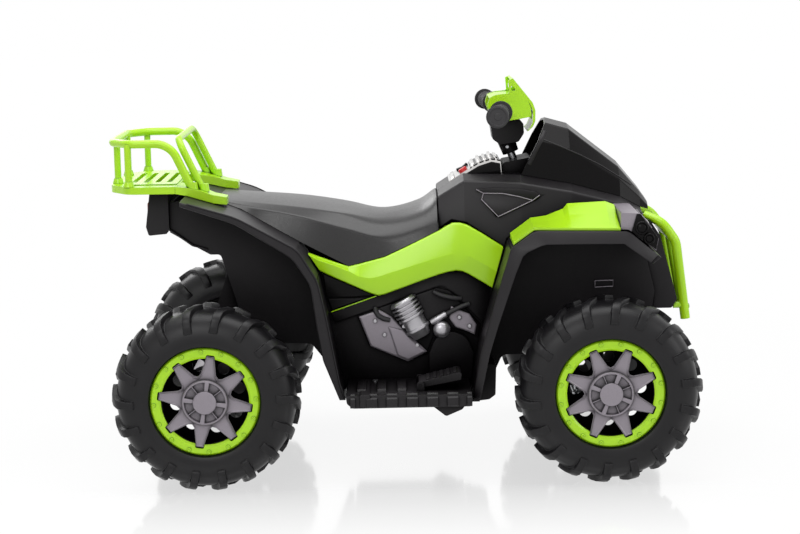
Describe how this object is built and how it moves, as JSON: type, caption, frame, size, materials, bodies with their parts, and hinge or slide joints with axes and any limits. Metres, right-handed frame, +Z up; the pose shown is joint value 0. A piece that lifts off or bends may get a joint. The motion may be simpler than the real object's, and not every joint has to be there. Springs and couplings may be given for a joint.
{
  "type": "kids quad bike",
  "caption": "Child's electric ride-on quad bike with treaded wheels, handlebar steering, footboards, moulded seat, front bumper and rear luggage rack.",
  "frame": {"origin": "on the ground under the middle of the overall box", "axes": "+X forward, +Y to the rider's left, +Z up"},
  "size_m": [1.1469, 0.6836, 0.7614],
  "materials": {
    "tyre_foam": "matt moulded foam",
    "black_plastic": "satin moulded plastic",
    "seat_plastic": "fine-grained moulded plastic",
    "gloss_black": "gloss moulded plastic",
    "lime_plastic": "gloss moulded plastic",
    "grey_plastic": "silver-grey painted plastic",
    "plated_plastic": "plated moulded plastic",
    "lens_plastic": "clear smoked lens",
    "red_lens": "red lens",
    "red_plastic": "red moulded plastic",
    "battery_case": "battery case",
    "bare_steel": "zinc-plated steel",
    "black_steel": "black powder coat",
    "grip_rubber": "ribbed rubber"
  },
  "bodies": {
    "chassis": {"chassis_tub": "black_plastic", "footboard_right": "black_plastic", "footboard_left": "black_plastic", "engine_cover_right": "grey_plastic", "engine_cover_left": "grey_plastic", "side_panel_right": "lime_plastic", "side_panel_left": "lime_plastic", "front_cowl": "black_plastic", "front_fender_right": "black_plastic", "front_fender_left": "black_plastic", "fender_trim_right": "lime_plastic", "fender_trim_left": "lime_plastic", "headlight_housings": "grey_plastic", "headlight_lenses": "lens_plastic", "front_grille": "black_plastic", "front_bumper": "lime_plastic", "nose_fairing": "gloss_black", "dash_panel": "plated_plastic", "seat": "seat_plastic", "rear_fender": "black_plastic", "rack_deck": "lime_plastic", "rack_rails": "lime_plastic", "tail_panel": "black_plastic", "tail_lamp": "red_lens", "battery": "battery_case", "control_box": "black_plastic", "front_axle_beam": "black_steel", "rear_axle": "bare_steel", "gearboxes": "grey_plastic", "motors": "bare_steel", "body_screws": "bare_steel"},
    "steering": {"steering_column": "bare_steel", "column_shroud": "black_plastic", "handlebar_tube": "black_steel", "grip_right": "grip_rubber", "grip_left": "grip_rubber", "handlebar_cover": "lime_plastic", "column_bolt": "bare_steel"},
    "right_knuckle": {"knuckle_right": "bare_steel"},
    "left_knuckle": {"knuckle_left": "bare_steel"},
    "tie_rod": {"tie_rod": "bare_steel"},
    "pedal": {"accelerator_pedal": "black_plastic"},
    "start_button": {"start_button": "red_plastic"},
    "direction_switch": {"direction_switch": "black_plastic"},
    "front_right_wheel": {"front_right_tyre": "tyre_foam", "front_right_rim": "black_plastic", "front_right_ring": "lime_plastic", "front_right_cap": "grey_plastic"},
    "front_left_wheel": {"front_left_tyre": "tyre_foam", "front_left_rim": "black_plastic", "front_left_ring": "lime_plastic", "front_left_cap": "grey_plastic"},
    "rear_right_wheel": {"rear_right_tyre": "tyre_foam", "rear_right_rim": "black_plastic", "rear_right_ring": "lime_plastic", "rear_right_cap": "grey_plastic"},
    "rear_left_wheel": {"rear_left_tyre": "tyre_foam", "rear_left_rim": "black_plastic", "rear_left_ring": "lime_plastic", "rear_left_cap": "grey_plastic"}
  },
  "joints": [
    {"name": "handlebar_steer", "type": "hinge", "parent": "chassis", "child": "steering", "pos_m": [0.39081, 0, 0.154], "axis": [-0.3469, 0, 0.9379], "range_deg": [-22, 22]},
    {"name": "right_knuckle_steer", "type": "hinge", "parent": "chassis", "child": "right_knuckle", "pos_m": [0.3875, -0.2, 0.18], "axis": [0, 0, 1], "range_deg": [-22.5, 22.5]},
    {"name": "left_knuckle_steer", "type": "hinge", "parent": "chassis", "child": "left_knuckle", "pos_m": [0.3875, 0.2, 0.18], "axis": [0, 0, 1], "range_deg": [-22.5, 22.5]},
    {"name": "tie_rod_pivot", "type": "hinge", "parent": "right_knuckle", "child": "tie_rod", "pos_m": [0.3375, -0.2, 0.154], "axis": [0, 0, 1], "range_deg": [-22.5, 22.5]},
    {"name": "front_right_spin", "type": "hinge", "parent": "right_knuckle", "child": "front_right_wheel", "pos_m": [0.3875, -0.282, 0.18], "axis": [0, 1, 0], "continuous": true},
    {"name": "front_left_spin", "type": "hinge", "parent": "left_knuckle", "child": "front_left_wheel", "pos_m": [0.3875, 0.282, 0.18], "axis": [0, 1, 0], "continuous": true},
    {"name": "rear_right_spin", "type": "hinge", "parent": "chassis", "child": "rear_right_wheel", "pos_m": [-0.3785, -0.282, 0.18], "axis": [0, 1, 0], "continuous": true},
    {"name": "rear_left_spin", "type": "hinge", "parent": "chassis", "child": "rear_left_wheel", "pos_m": [-0.3785, 0.282, 0.18], "axis": [0, 1, 0], "continuous": true},
    {"name": "accelerator_press", "type": "hinge", "parent": "chassis", "child": "pedal", "pos_m": [0.0285, -0.232, 0.189], "axis": [0, 1, 0], "range_deg": [0, 9], "stiffness_Nm_per_rad": 4, "springref_deg": -8.59},
    {"name": "start_press", "type": "slide", "parent": "chassis", "child": "start_button", "axis": [0.5145, 0, -0.8575], "range_m": [0, 0.003], "stiffness_N_per_m": 400, "springref_m": -0.002},
    {"name": "direction_rock", "type": "hinge", "parent": "chassis", "child": "direction_switch", "pos_m": [0.1245, 0.028, 0.577], "axis": [0, 1, 0], "range_deg": [-8, 8]}
  ],
  "couplings": [
    {"joint": "right_knuckle_steer", "follows": "handlebar_steer", "ratio": 1},
    {"joint": "left_knuckle_steer", "follows": "handlebar_steer", "ratio": 1},
    {"joint": "tie_rod_pivot", "follows": "handlebar_steer", "ratio": -1}
  ]
}
